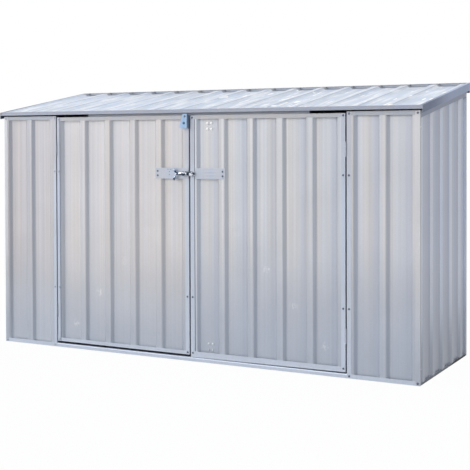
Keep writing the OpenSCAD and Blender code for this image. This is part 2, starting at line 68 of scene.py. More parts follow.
# Camera, from a fit to the corners of the shed in a 470 pixel square frame
FRAME_PX = 470
FOCAL_PX = 1067.5
CENTRE_PX = (216.9, 160.0)
CAMERA_PLACE = Vector((2.4972, FRONT - 4.3738, 1.0523))
YAW, PITCH, ROLL = -0.49416, -0.01982, -0.00351
SENSOR = 36.0


def make_camera():
    """The camera at the photograph's place, with its yaw, pitch and roll in radians."""
    data = bpy.data.cameras.new("camera")
    data.sensor_width = SENSOR
    data.lens = FOCAL_PX / FRAME_PX * SENSOR
    data.shift_x = (FRAME_PX / 2 - CENTRE_PX[0]) / FRAME_PX
    data.shift_y = (CENTRE_PX[1] - FRAME_PX / 2) / FRAME_PX
    ahead = Vector((
        math.sin(YAW) * math.cos(PITCH), math.cos(YAW) * math.cos(PITCH), math.sin(PITCH)))
    level = Vector((math.cos(YAW), -math.sin(YAW), 0.0))
    upright = level.cross(ahead)
    right = level * math.cos(ROLL) + upright * math.sin(ROLL)
    up = upright * math.cos(ROLL) - level * math.sin(ROLL)
    camera = bpy.data.objects.new("camera", data)
    camera.matrix_world = Matrix.Translation(CAMERA_PLACE) @ Matrix(
        (right, up, -ahead)).transposed().to_4x4()
    bpy.context.scene.collection.objects.link(camera)
    bpy.context.scene.camera = camera


make_camera()


def put(tree, socket, value):
    """Links a socket to another one, or sets it to a constant."""
    if isinstance(value, bpy.types.NodeSocket):
        tree.links.new(value, socket)
    else:
        socket.default_value = value


def calc(tree, operation, a, b=0.0):
    """What a math node makes of two values, each a socket or a number."""
    node = tree.nodes.new("ShaderNodeMath")
    node.operation = operation
    put(tree, node.inputs[0], a)
    put(tree, node.inputs[1], b)
    return node.outputs[0]


class Graph:
    """The nodes of one material, made with short calls."""

    # Pale edges, partly wear and partly painted highlight: their width in metres, the samples that
    # find them, and the cosines of the turn of the surface at which the pale starts and is full
    EDGE_WIDTH = 0.0015
    BEVEL_SAMPLES = 4
    EDGE_COSINES = (0.995, 0.90)
    # Sockets of a mix of colours, because its other kinds of value have the same names
    MIX_FACTOR, MIX_A, MIX_B = 0, 6, 7
    MIX_RESULT = 2

    def __init__(self, name, metallic, specular=0.5):
        self.material = bpy.data.materials.new(name)
        self.material.use_nodes = True
        self.tree = self.material.node_tree
        self.shader = self.tree.nodes["Principled BSDF"]
        self.shader.inputs["Metallic"].default_value = metallic
        self.shader.inputs["Specular IOR Level"].default_value = specular
        self.place = self.add("TexCoord").outputs["Object"]
        axes = self.add("SeparateXYZ", {0: self.place})
        self.x, self.y, self.z = axes.outputs

    def add(self, kind, inputs=None, **settings):
        """A new node of a kind, with its settings and inputs."""
        node = self.tree.nodes.new("ShaderNode" + kind)
        for key, value in settings.items():
            setattr(node, key, value)
        for key, value in (inputs or {}).items():
            put(self.tree, node.inputs[key], value)
        return node

    def calc(self, operation, a, b=0.0):
        return calc(self.tree, operation, a, b)

    def mix(self, factor, a, b, blend="MIX"):
        """Two colours mixed by a factor."""
        inputs = {self.MIX_FACTOR: factor, self.MIX_A: a, self.MIX_B: b}
        node = self.add("Mix", inputs, data_type="RGBA", blend_type=blend)
        return node.outputs[self.MIX_RESULT]

    def toned(self, colour, tone, strength=1.0):
        """The colour times a tone."""
        return self.mix(strength, colour, tone, "MULTIPLY")

    def span(self, value, low, high, to_low=0.0, to_high=1.0):
        """A smooth step from to_low at low to to_high at high."""
        inputs = {"Value": value, "From Min": low, "From Max": high, "To Min": to_low,
                  "To Max": to_high}
        return self.add("MapRange", inputs, interpolation_type="SMOOTHSTEP").outputs[0]

    def noise(self, scale, detail):
        """Noise with one scale for all axes, or one for each of the three."""
        place = self.place
        if isinstance(scale, tuple):
            place = self.add("Mapping", {"Vector": place, "Scale": scale}).outputs[0]
            scale = 1.0
        return self.add("TexNoise", {"Vector": place, "Scale": scale, "Detail": detail}).outputs[0]

    def cells(self, scale):
        """A random level in each crystal of the spangle."""
        node = self.add("TexVoronoi", {"Vector": self.place, "Scale": scale})
        return self.add("SeparateColor", {"Color": node.outputs["Color"]}).outputs["Red"]

    def ramp(self, factor, stops):
        """Colours between stops, each a position and a colour."""
        node = self.add("ValToRGB", {0: factor})
        elements = node.color_ramp.elements
        while len(elements) < len(stops):
            elements.new(0.5)
        for element, (position, colour) in zip(elements, stops):
            element.position = position
            element.color = colour
        return node.outputs[0]

    def grey(self, factor, low, high):
        """A grey multiplier that runs from low to high."""
        level = self.span(factor, 0.0, 1.0, low, high)
        return self.add("CombineColor", dict.fromkeys(("Red", "Green", "Blue"), level)).outputs[0]

    def stripe(self, value, low, high, soft):
        """One between low and high, zero outside them."""
        after = self.span(value, low - soft, low + soft)
        before = self.span(value, high + soft, high - soft)
        return self.calc("MULTIPLY", after, before)

    def spot(self, centre, radius):
        """One at the centre of a round spot, and zero outside it."""
        gap = self.add("VectorMath", {0: self.place, 1: centre}, operation="DISTANCE")
        return self.span(gap.outputs["Value"], radius, 0.0)

    def edges(self):
        """One along folded and cut edges, zero on the flats."""
        soft = self.add("Bevel", {"Radius": self.EDGE_WIDTH}, samples=self.BEVEL_SAMPLES)
        flat = self.add("NewGeometry")
        alike = self.add("VectorMath", {0: soft.outputs[0], 1: flat.outputs["Normal"]},
                         operation="DOT_PRODUCT")
        return self.span(alike.outputs["Value"], *self.EDGE_COSINES)

    def finish(self, colour, rough, height, depth):
        """Joins the colour, roughness and bump to the shader."""
        put(self.tree, self.shader.inputs["Base Color"], colour)
        put(self.tree, self.shader.inputs["Roughness"], rough)
        bump = self.add("Bump", {"Height": height, "Distance": depth, "Strength": 1.0})
        put(self.tree, self.shader.inputs["Normal"], bump.outputs[0])
        return self.material


def screen(red, green, blue):
    """A colour from its screen values of 0 to 255, by the sRGB curve."""
    levels = [v / 255 for v in (red, green, blue)]
    linear = [v / 12.92 if v < 0.04045 else ((v + 0.055) / 1.055) ** 2.4 for v in levels]
    return (*linear, 1.0)


# Screen colours of the coated steel, high on the walls and low down
COOL_HIGH = screen(196, 197, 202)
COOL_LOW = screen(171, 178, 191)
WARM_LOW = screen(176, 183, 195)
FRONT_TONES = {
    "front_left_panel": (screen(183, 181, 184), WARM_LOW),
    "left_door_sheet": (screen(196, 194, 195), WARM_LOW),
    "right_door_sheet": (screen(193, 194, 198), COOL_LOW),
    "front_right_panel": (screen(192, 193, 198), COOL_LOW),
}
SIDE_HIGH = screen(200, 204, 216)
SIDE_LOW = screen(176, 182, 194)
CHANNEL_HIGH = screen(188, 195, 208)
CHANNEL_LOW = screen(190, 199, 214)
# The rails' high colour and the front top channels' tone are darker than the other channels:
# painted shade under the fascia
RAIL_HIGH_SHADED = screen(172, 172, 176)
TOP_SHADED_TONE = screen(166, 170, 178)
HEADER_TONE = screen(160, 164, 174)
SIDE_TOP_TONE = screen(149, 156, 178)
# The side base channels are darker than the other channels: painted shade
SIDE_BASE_SHADE_TONE = screen(135, 138, 146)
ROOF_TONE = screen(203, 211, 224)
BARGE_TONE = screen(163, 176, 203)
REAR_CAP_TONE = screen(159, 165, 176)
FASCIA_TONE = screen(151, 156, 169)
FASCIA_LIP_TONE = screen(148, 153, 167)
PLATE_TONE = screen(178, 184, 196)
TAB_TONE = screen(152, 182, 214)
HARDWARE_TONE = screen(150, 156, 168)
SCREW_TONE = screen(92, 100, 118)
PALE_SCREW_TONE = screen(170, 178, 192)
RIVET_TONE = screen(252, 253, 255)
LOW_RIVET_TONE = screen(190, 198, 210)
EYELET_HOLE_SHADE = screen(62, 88, 112)
CHROME_TONE = screen(228, 233, 242)
CHROME_DARK = screen(46, 62, 84)
PALE_SCUFF = screen(234, 234, 236)
WHITE = (1.0, 1.0, 1.0, 1.0)

# Tones across one rib and pan, from the front or left edge of the crest, which paint light and
# shade. A flank that faces right gets painted shade, which runs onto the crest's edge before it
# and the pan's foot after it. The side walls' flank that faces the front and the roof's crest and
# right flank get painted highlights, and the pans get pale and bluish painted reflections.
CREST_EDGE_SHADE = (0.62, 0.65, 0.71, 1)
FLANK_SHADE = (0.92, 0.96, 1.02, 1)
FLANK_FOOT_SHADE = (0.62, 0.64, 0.68, 1)
LEFT_RIB = (
    (0.000, (0.96, 0.96, 0.97, 1)),
    (0.090, (0.95, 0.95, 0.96, 1)),
    (0.125, (1.03, 1.02, 1.01, 1)),
    (0.172, (1.02, 1.01, 1.00, 1)),
    (0.185, CREST_EDGE_SHADE),
    (0.203, CREST_EDGE_SHADE),
    (0.206, FLANK_SHADE),
    (0.284, FLANK_SHADE),
    (0.286, FLANK_FOOT_SHADE),
    (0.298, FLANK_FOOT_SHADE),
    (0.308, (0.92, 0.93, 0.95, 1)),
    (0.38, (0.97, 0.97, 0.98, 1)),
    (0.50, (1.01, 1.00, 1.00, 1)),
    (0.80, (1.01, 1.00, 1.00, 1)),
    (0.95, (1.02, 1.02, 1.02, 1)),
)
RIGHT_RIB = (
    (0.000, (0.94, 0.95, 0.96, 1)),
    (0.045, (1.00, 1.00, 0.99, 1)),
    (0.075, (0.97, 0.97, 0.97, 1)),
    (0.105, (1.09, 1.08, 1.06, 1)),
    (0.140, (1.06, 1.05, 1.03, 1)),
    (0.177, (1.00, 1.00, 0.99, 1)),
    (0.189, CREST_EDGE_SHADE),
    (0.203, CREST_EDGE_SHADE),
    (0.206, FLANK_SHADE),
    (0.284, FLANK_SHADE),
    (0.286, FLANK_FOOT_SHADE),
    (0.298, FLANK_FOOT_SHADE),
    (0.308, (1.02, 1.01, 1.00, 1)),
    (0.60, (1.00, 0.99, 0.98, 1)),
    (0.75, (0.93, 0.94, 0.95, 1)),
    (0.80, (0.84, 0.86, 0.91, 1)),
    (0.91, (0.84, 0.86, 0.91, 1)),
    (0.96, (0.93, 0.94, 0.96, 1)),
)
SIDE_RIB = (
    (0.00, (1.00, 1.00, 1.00, 1)),
    (0.22, (0.96, 0.97, 0.98, 1)),
    (0.30, (0.94, 0.95, 0.98, 1)),
    (0.90, (0.94, 0.95, 0.98, 1)),
    (0.93, (1.33, 1.33, 1.30, 1)),
    (0.99, (1.33, 1.33, 1.30, 1)),
)
ROOF_RIB = (
    (0.00, (1.06, 1.05, 1.04, 1)),
    (0.19, (1.06, 1.05, 1.04, 1)),
    (0.21, (0.72, 0.75, 0.80, 1)),
    (0.23, (1.16, 1.15, 1.12, 1)),
    (0.28, (1.16, 1.15, 1.12, 1)),
    (0.32, (0.98, 1.00, 1.02, 1)),
    (0.88, (1.00, 1.00, 1.00, 1)),
    (0.92, (0.92, 0.94, 0.97, 1)),
    (0.98, (0.92, 0.94, 0.97, 1)),
)

# Heights between which the walls change from their low colour to their high one, and between
# which the ribs' tones gain strength, with the share of them that is left at the lower height
WALL_RISE, LEFT_RISE, RIGHT_RISE = (0.0, 0.55), (0.0, 0.58), (0.06, 0.72)
NO_FADE, FRONT_FADE, SIDE_FADE = (0.0, 0.001, 1.0), (0.10, 0.75, 0.45), (0.06, 0.30, 0.0)

# Stripes of tone, every one of them painted light and shade: an axis, two places along it, their
# softness and the tone. The glows, lights, glints, pale bands, the bright feet of the side pans
# and the sill's bright top edge are painted light; the shades, the dark rear edge of the roof and
# the darker tops of the stiles are painted shade; the dark lines in the crevice and the seams are
# painted shadows; the fork's and the bolt's shades are painted reflections. The places count from
# the fold or end that from_edge is given, or else from the frame's origin. FAR runs past the end
# of a piece.
FAR = 0.5
MIDDLE_GLOW = ("z", 0.42, 0.85, 0.12, (1.045, 1.045, 1.045, 1))
PANEL_GLOW = ("x", 0.0, FAR, 0.04, (1.09, 1.09, 1.08, 1))
MEETING_SHADE = ("x", -0.062, -0.010, 0.006, (0.90, 0.91, 0.94, 1))
CREVICE_SHADOW = ("x", -0.002, 0.0035, 0.0008, (0.22, 0.24, 0.30, 1))
CREVICE_GLINT = ("x", 0.0045, 0.012, 0.002, (1.14, 1.14, 1.12, 1))
SIDE_LIGHT = ("y", -0.045, FAR, 0.004, (1.30, 1.29, 1.26, 1))
PAN_FOOT_LIGHT = ("z", -FAR, 0.0, 0.001, (1.80, 1.80, 1.80, 1))
REAR_SHADE = ("y", -0.15, FAR, 0.05, (0.89, 0.89, 0.91, 1))
REAR_EDGE_SHADE = ("y", -0.04, FAR, 0.006, (0.42, 0.42, 0.43, 1))
BASE_SHADE = ("y", 0.0, FAR, 0.03, (0.08, 0.08, 0.09, 1))
SILL_EDGE_LIGHT = ("z", -0.005, FAR, 0.001, (1.45, 1.45, 1.45, 1))
STILE_TOP_SHADE = ("z", 0.90, WALL_TOP + 0.1, 0.12, (0.88, 0.84, 0.82, 1))
HINGE_SEAM_SHADOW = ("x", 0.015, 0.022, 0.0008, (0.36, 0.38, 0.43, 1))
JAMB_SEAM_SHADOW = ("x", -0.002, 0.003, 0.0008, (0.76, 0.78, 0.81, 1))
BARGE_SHADE = ("y", -FAR, 0.26, 0.2, (0.42, 0.44, 0.48, 1))
CORNER_LIGHT = ("y", -0.05, -0.006, 0.001, (1.38, 1.37, 1.30, 1))
FORK_SHADE = ("x", -FAR, 0.022, 0.004, (0.60, 0.70, 0.80, 1))
BOLT_SHADE = ("z", -0.0045, 0.0005, 0.001, (0.42, 0.48, 0.54, 1))
TAB_PALE = ("x", -0.010, 0.012, 0.006, (1.22, 1.08, 1.02, 1))
TAB_GLINT = ("x", -0.006, -0.002, 0.001, (1.45, 1.28, 1.12, 1))

# Scuffs on the doors, each a centre, a radius and a strength
SCUFFS = {
    "left_door_sheet": (
        ((-0.530, SHEET_FACE, 0.294), 0.034, 0.8),
        ((-0.672, SHEET_FACE, 0.129), 0.028, 0.8),
        ((-0.388, SHEET_FACE, 0.457), 0.034, 0.4),
    ),
    "right_door_sheet": (
        ((0.388, SHEET_FACE, 0.460), 0.032, 0.7),
        ((0.524, SHEET_FACE, 0.294), 0.030, 0.7),
        ((0.677, SHEET_FACE, 0.129), 0.030, 0.4),
    ),
}

# Shallow dents in the doors, each a centre and a radius, with their share of the relief
DENT_DEPTH = 0.2
DENTS = {
    "left_door_sheet": (
        ((-0.388, SHEET_FACE, 0.462), 0.042),
        ((-0.251, SHEET_FACE, 0.622), 0.036),
        ((-0.115, SHEET_FACE, 0.789), 0.030),
    ),
    "right_door_sheet": (
        ((0.244, SHEET_FACE, 0.621), 0.034),
    ),
}

# Noise in the metals: its scale in a metre, for all axes or for x, y and z, and its detail
BANDS = ((24, 24, 0.3), 2.0)
BLOTCHES = (3.1, 3.0)
LINES = ((170, 170, 0.8), 3.0)
STREAKS = ((75, 75, 0.4), 2.0)
WEATHER_AND_GLARE = ((34, 4, 4), 4.0)
GLINT_SPECKS = ((46, 7, 7), 1.0)
SCRATCHES = ((210, 210, 90), 4.0)
WAVES = (4.0, 1.0)
TARNISH_AND_REFLECTION = (90.0, 2.0)
PLATING_LINES = ((60, 900, 900), 3.0)
GRAIN = (700.0, 3.0)
SPANGLE_SCALE = 240.0

# Tones that the noise gives, and the levels of it between which a feature fades in
BAND_TONES = ((0.38, (0.95, 0.98, 1.02, 1)), (0.62, (1.02, 1.00, 0.98, 1)))
LINE_TONES = (0.96, 1.04)
SPANGLE_TONES = (0.98, 1.02)
GRAIN_TONES = (0.8, 1.2)
DULL_PATCH = (0.78, 0.83, 0.87, 1)
DULL_LEVELS, GLARE_LEVELS = (0.52, 0.36), (0.50, 0.68)
SPECK_LEVELS, SCRATCH_LEVELS = (0.66, 0.70), (0.48, 0.66)
TARNISH_AND_REFLECTION_LEVELS, GRAIN_LEVELS = (0.42, 0.52), (0.3, 0.7)

# Bands and streaks are calmer low down: two heights and the strengths there. The painted glint
# specks fade in between two places across the roof.
CALM = (0.20, 0.70, 0.25, 1.0)
SPECK_PLACES = (-0.5, 0.1)

# Roughness of the coating, over the sum of spangle and blotches, and of the plating
COAT_LEVELS, COAT_ROUGH = (0.4, 1.6), (0.36, 0.50)
PLATING_ROUGH = (0.10, 0.24)

# Relief of the metals in metres, and the spangle's share of it
COAT_RELIEF, PLATING_RELIEF, GRAIN_RELIEF = 0.004, 0.0002, 0.0003
SPANGLE_RELIEF = 0.02

# Strength of the pale edges, partly wear and partly painted highlight, and softness of the ends
# of a plated stretch
EDGE_WEAR_AND_HIGHLIGHT = 0.3
PLATING_SOFT = 0.001


def from_edge(edge, stripe):
    """A stripe whose two places count from an edge."""
    axis, start, end, soft, tone = stripe
    return (axis, edge + start, edge + end, soft, tone)


def striped(g, colour, stripes):
    """The colour with stripes of tone, which paint light and shade."""
    for axis, start, end, soft, tone in stripes:
        mask = g.stripe(getattr(g, axis), start, end, soft)
        colour = g.mix(mask, colour, g.toned(colour, tone))
    return colour


def plating(g):
    """The colour of bright plating with soft dark patches, partly tarnish and partly painted
    reflection.
    """
    return g.mix(g.span(g.noise(*TARNISH_AND_REFLECTION), *TARNISH_AND_REFLECTION_LEVELS), CHROME_TONE, CHROME_DARK)


def coated_steel(name, high, low=None, ribs=None, scuffs=(), dents=(), stripes=(), rise=WALL_RISE,
                 fade=NO_FADE, patches=0.0, plated=None, metallic=0.3, specular=0.4, mottle=0.06,
                 streaks=0.0):
    """Zinc-aluminium coating: fine spangle, rolling lines, soft blotches and pale edges, partly
    worn and partly painted highlight.

    high and low are its colours up and down the walls, and rise the heights between which they
    change. ribs gives the axis across the ribs, the place where a crest starts and the tones,
    which paint light and shade across the ribs, and fade says how these gain strength with
    height. patches is the strength of weathered dull patches, of painted glare and of painted
    glint specks, mottle that of the blotches and streaks that of the upright lines. plated gives
    an axis and the two ends of a stretch with bright plating.
    """
    g = Graph(name, metallic, specular)
    colour = g.mix(g.span(g.z, *rise), low or high, high)
    if ribs:
        axis, start, tones = ribs
        across = g.calc("DIVIDE", g.calc("SUBTRACT", getattr(g, axis), start), RIB_PITCH)
        colour = g.toned(colour, g.ramp(g.calc("FRACT", across), tones), g.span(g.z, *fade, 1.0))
    calm = g.span(g.z, *CALM)
    colour = g.toned(colour, g.ramp(g.noise(*BANDS), BAND_TONES), calm)
    blotches = g.noise(*BLOTCHES)
    colour = g.toned(colour, g.grey(blotches, 1 - mottle, 1 + mottle))
    colour = g.toned(colour, g.grey(g.noise(*LINES), *LINE_TONES))
    if streaks:
        colour = g.toned(colour, g.grey(g.noise(*STREAKS), 1 - streaks, 1 + streaks), calm)
    spangle = g.cells(SPANGLE_SCALE)
    colour = g.toned(colour, g.grey(spangle, *SPANGLE_TONES))
    # Weathered dull patches, then painted glare and painted glint specks
    if patches:
        weather_and_glare = g.noise(*WEATHER_AND_GLARE)
        dull = g.calc("MULTIPLY", g.span(weather_and_glare, *DULL_LEVELS), patches)
        colour = g.mix(dull, colour, g.toned(colour, DULL_PATCH))
        glare = g.calc("MULTIPLY", g.span(weather_and_glare, *GLARE_LEVELS), patches)
        colour = g.mix(glare, colour, WHITE)
        specks = g.span(g.noise(*GLINT_SPECKS), *SPECK_LEVELS)
        colour = g.mix(g.calc("MULTIPLY", specks, g.span(g.x, *SPECK_PLACES)), colour, WHITE)
    colour = striped(g, colour, stripes)
    if scuffs:
        scratches = g.span(g.noise(*SCRATCHES), *SCRATCH_LEVELS)
    for centre, radius, strength in scuffs:
        mask = g.calc("MULTIPLY", g.spot(centre, radius), scratches)
        colour = g.mix(g.calc("MULTIPLY", mask, strength), colour, PALE_SCUFF)
    if plated:
        axis, start, end = plated
        mask = g.stripe(getattr(g, axis), start, end, PLATING_SOFT)
        colour = g.mix(mask, colour, plating(g))
    colour = g.mix(g.calc("MULTIPLY", g.edges(), EDGE_WEAR_AND_HIGHLIGHT), colour, WHITE)
    rough = g.span(g.calc("ADD", spangle, blotches), *COAT_LEVELS, *COAT_ROUGH)
    height = g.calc("ADD", g.noise(*WAVES), g.calc("MULTIPLY", spangle, SPANGLE_RELIEF))
    for centre, radius in dents:
        dent = g.calc("MULTIPLY", g.spot(centre, radius), DENT_DEPTH)
        height = g.calc("SUBTRACT", height, dent)
    return g.finish(colour, rough, height, COAT_RELIEF)


def chrome(name, stripes):
    """Bright plating with soft dark patches, partly tarnish and partly painted reflection, and
    fine scratches.
    """
    g = Graph(name, 1.0)
    colour = striped(g, plating(g), stripes)
    scratches = g.noise(*PLATING_LINES)
    rough = g.span(scratches, *GRAIN_LEVELS, *PLATING_ROUGH)
    return g.finish(colour, rough, scratches, PLATING_RELIEF)


def worn_metal(name, tone, metallic, rough, start=None):
    """Small fasteners: a plated colour with dull and bright grains.

    rough gives the lowest and highest roughness. start gives an axis, two places along it and
    another colour, which holds before the first.
    """
    g = Graph(name, metallic)
    grain = g.noise(*GRAIN)
    if start:
        axis, first, last, first_tone = start
        tone = g.mix(g.span(getattr(g, axis), first, last), first_tone, tone)
    colour = g.toned(tone, g.grey(grain, *GRAIN_TONES))
    return g.finish(colour, g.span(grain, *GRAIN_LEVELS, *rough), grain, GRAIN_RELIEF)


def give(node, material):
    """Puts a material on a CAD node."""
    obj = nodes[node]
    if not obj.material_slots:
        obj.data.materials.append(material)
    for place in obj.material_slots:
        place.material = material


def rib_start(node):
    """Left edge of the first crest on a front sheet."""
    low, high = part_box(node)
    width = high.x - low.x
    whole = RIB_PITCH * math.floor((width - CREST / 2) / RIB_PITCH)
    shift = RIB_SHIFT if "left" in node else 0.0
    return low.x + (width - whole - CREST) / 2 - shift


def front_stripes(node):
    """Stripes of one front sheet.

    All have a painted paler band at half height. The left panel is painted paler towards the door,
    the left door has painted shade near the right one, and the right door has a painted shadow
    line and a painted highlight beside its meeting flange.
    """
    stripes = [MIDDLE_GLOW]
    if node == "front_left_panel":
        low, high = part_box(node)
        stripes.append(from_edge((low.x + high.x) / 2, PANEL_GLOW))
    if node == "left_door_sheet":
        stripes.append(MEETING_SHADE)
    if node == "right_door_sheet":
        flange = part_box("right_door_stiles")[0].x + MEETING_FLANGE
        stripes += [from_edge(flange, CREVICE_SHADOW), from_edge(flange, CREVICE_GLINT)]
    return stripes


def dress_sheets():
    """Gives the ribbed sheets of the walls, doors and roof their coating."""
    for node, (high, low) in FRONT_TONES.items():
        tones, rise = (LEFT_RIB, LEFT_RISE) if "left" in node else (RIGHT_RIB, RIGHT_RISE)
        give(node, coated_steel(
            node, high, low, ("x", rib_start(node), tones), SCUFFS.get(node, ()),
            DENTS.get(node, ()), front_stripes(node), rise, FRONT_FADE, streaks=0.12))
    side_stripes = (
        from_edge(BACK, SIDE_LIGHT),
        from_edge(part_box("left_base_channel")[1].z, PAN_FOOT_LIGHT),
    )
    side = coated_steel("side_sheet", SIDE_HIGH, SIDE_LOW, ("y", FRONT + SIDE_RIB_START, SIDE_RIB),
                        stripes=side_stripes, fade=SIDE_FADE)
    for node in ("left_side_panel", "right_side_panel"):
        give(node, side)
    rear = coated_steel("rear_sheet", COOL_HIGH, COOL_LOW, ("x", SEAM_RIB, RIGHT_RIB),
                        fade=FRONT_FADE)
    for node in ("rear_left_panel", "rear_middle_panel", "rear_right_panel"):
        give(node, rear)
    rear_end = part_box("roof_middle_sheet")[1].y
    # The roof darkens towards its rear edge: painted shade
    painted_rear_shade = (from_edge(rear_end, REAR_SHADE), from_edge(rear_end, REAR_EDGE_SHADE))
    roof = coated_steel("roof_sheet", ROOF_TONE, ribs=("x", SEAM_RIB, ROOF_RIB), stripes=painted_rear_shade,
                        patches=0.5, mottle=0.10)
    for node in ("roof_left_sheet", "roof_middle_sheet", "roof_right_sheet"):
        give(node, roof)


# The shaded share of the side channels' depth, the heights over the lip's foot between which the
# fascia changes colour, and how far the plating of the saddles and the keeper reaches
BASE_SHADE_SHARE = 0.36
LIP_RISE = (0.002, 0.012)
SADDLE_REACH = 0.05
KEEPER_REACH = 0.024
PLATING_MARGIN = 0.001


def dress_channels():
    """Gives the channels, caps, plates and fittings their coating or plating."""
    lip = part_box("front_roof_cap")[0].z
    sill_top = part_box("door_sill")[1].z
    hinge_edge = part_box("left_door_stiles")[0].x
    jamb_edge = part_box("left_jamb")[0].x
    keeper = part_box("right_lock_plate")[0].x - PLATING_MARGIN
    shaded = BACK - BASE_SHADE_SHARE * (BACK - FRONT)
    channel = coated_steel("channel", CHANNEL_HIGH, CHANNEL_LOW)
    upright = coated_steel("upright", CHANNEL_HIGH, CHANNEL_LOW, stripes=(STILE_TOP_SHADE,))
    left_stiles = coated_steel("left_stiles", CHANNEL_HIGH, CHANNEL_LOW,
                               stripes=(from_edge(hinge_edge, HINGE_SEAM_SHADOW), STILE_TOP_SHADE))
    left_jamb = coated_steel("left_jamb", CHANNEL_HIGH, CHANNEL_LOW,
                             stripes=(from_edge(jamb_edge, JAMB_SEAM_SHADOW), STILE_TOP_SHADE))
    sill = coated_steel("sill", CHANNEL_HIGH, CHANNEL_LOW,
                        stripes=(from_edge(sill_top, SILL_EDGE_LIGHT),))
    rails = coated_steel("door_rails", RAIL_HIGH_SHADED, CHANNEL_LOW)
    corner = coated_steel("corner", COOL_HIGH, COOL_LOW)
    rear_corner = coated_steel("rear_corner", SIDE_HIGH, SIDE_LOW,
                               stripes=(from_edge(BACK, CORNER_LIGHT),))
    barge = coated_steel("barge", BARGE_TONE, stripes=(from_edge(FRONT, BARGE_SHADE),),
                         specular=0.15)
    side_top = coated_steel("side_top", SIDE_TOP_TONE)
    side_base = coated_steel("side_base", SIDE_BASE_SHADE_TONE, stripes=(from_edge(shaded, BASE_SHADE),),
                             metallic=0.0, specular=0.05)
    fascia = coated_steel("fascia", FASCIA_TONE, FASCIA_LIP_TONE,
                          rise=(lip + LIP_RISE[0], lip + LIP_RISE[1]))
    left_plate = coated_steel("left_plate", PLATE_TONE,
                              plated=("y", FRONT - SADDLE_REACH, PLATE_FACE - PLATING_MARGIN))
    right_plate = coated_steel("right_plate", PLATE_TONE,
                               plated=("x", keeper, keeper + KEEPER_REACH))
    tab = coated_steel("catch_tab", TAB_TONE, metallic=0.15, stripes=(
        from_edge(TAB_LOW.x, TAB_PALE), from_edge(TAB_HIGH.x, TAB_GLINT)))
    bolt = chrome("bolt", (from_edge(BOLT_LOW.x, FORK_SHADE), from_edge(BOLT_AXIS_Z, BOLT_SHADE)))
    hardware = coated_steel("hardware", HARDWARE_TONE, metallic=0.6)
    finishes = {
        "left_door_stiles": left_stiles,
        "right_door_stiles": upright,
        "left_jamb": left_jamb,
        "right_jamb": upright,
        "door_header": coated_steel("header", HEADER_TONE),
        "door_sill": sill,
        "front_top_channels": coated_steel("front_top", TOP_SHADED_TONE),
        "left_door_rails": rails,
        "right_door_rails": rails,
        "front_corner_channels": corner,
        "rear_corner_channels": rear_corner,
        "rear_base_channel": corner,
        "left_base_channel": side_base,
        "right_base_channel": side_base,
        "left_top_channel": side_top,
        "right_top_channel": side_top,
        "left_barge_cap": barge,
        "right_barge_cap": barge,
        "rear_roof_cap": coated_steel("rear_cap", REAR_CAP_TONE),
        "front_roof_cap": fascia,
        "left_lock_plate": left_plate,
        "right_lock_plate": right_plate,
        "door_catch_tab": tab,
        "pad_bolt": bolt,
    }
    for node in nodes:
        if node in finishes:
            give(node, finishes[node])
        elif "hinge" in node or "shoot" in node:
            give(node, hardware)
        elif "panel" not in node and "sheet" not in node or "brace" in node:
            give(node, channel)


dress_sheets()
dress_channels()

# Screws are paler near the left end, and rivets darker near the ground
PALE_SCREWS = ("x", -0.70, -0.50, PALE_SCREW_TONE)
LOW_RIVETS_DARKER = ("z", 0.05, 0.13, LOW_RIVET_TONE)
SCREW_METAL = worn_metal(
    "screw_metal", SCREW_TONE, metallic=0.5, rough=(0.3, 0.5), start=PALE_SCREWS)
RIVET_METAL = worn_metal(
    "rivet_metal", RIVET_TONE, metallic=0.1, rough=(0.3, 0.45), start=LOW_RIVETS_DARKER)
EYELET_SHADE_METAL = worn_metal("eyelet_shade_metal", EYELET_HOLE_SHADE, metallic=0.2, rough=(0.4, 0.6))

# Lathe profiles of the fasteners as shares of their radius: radius, height, hexagonal or round
SCREW_PROFILE = (
    (1.00, 0.00, False), (1.00, 0.14, False), (0.90, 0.24, False), (0.66, 0.28, True),
    (0.66, 0.66, True), (0.58, 0.76, True), (0.34, 0.78, False), (0.28, 0.60, False),
)
RIVET_PROFILE = (
    (1.00, 0.00, False), (1.00, 0.10, False), (0.90, 0.30, False), (0.68, 0.46, False),
    (0.38, 0.56, False), (0.22, 0.50, False),
)
EYELET_PROFILE = (
    (1.00, 0.00, False), (1.00, 0.12, False), (0.88, 0.22, False), (0.70, 0.20, False),
    (0.62, 0.08, False),
)
LATHE_SIDES = 12
HEX_MIDDLE = math.cos(math.pi / 6)
FORWARD = Vector((0, -1, 0))


def join_rings(bm, rings):
    """Adds the faces between each ring of points and the next."""
    for lower, upper in zip(rings, rings[1:]):
        for k in range(len(lower)):
            after = (k + 1) % len(lower)
            bm.faces.new((lower[k], lower[after], upper[after], upper[k]))


def add_lathe(bm, centre, normal, radius, profile, turn=0.0):
    """Adds one closed fastener head that stands on centre and points along normal."""
    axes = Vector(normal).normalized().to_track_quat("Z", "Y").to_matrix()
    rings = []
    for share, height, hexagonal in profile:
        ring = []
        for k in range(LATHE_SIDES):
            angle = 2 * math.pi * k / LATHE_SIDES + turn
            reach = radius * share * (HEX_MIDDLE if hexagonal and k % 2 else 1.0)
            local = Vector((reach * math.cos(angle), reach * math.sin(angle), radius * height))
            ring.append(bm.verts.new(Vector(centre) + axes @ local))
        rings.append(ring)
    join_rings(bm, rings)
    bm.faces.new(rings[-1])
    bm.faces.new(rings[0][::-1])


def place_piece(name, mesh, body):
    """Makes an object of a mesh, and lets it ride on a body."""
    obj = bpy.data.objects.new(name, mesh)
    bpy.context.scene.collection.objects.link(obj)
    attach(obj, body)
    return obj


def piece(name, bm, material, body):
    """Turns a bmesh into an object that rides on a body."""
    bmesh.ops.recalc_face_normals(bm, faces=bm.faces)
    mesh = bpy.data.meshes.new(name)
    bm.to_mesh(mesh)
    bm.free()
    mesh.materials.append(material)
    place_piece(name, mesh, body)


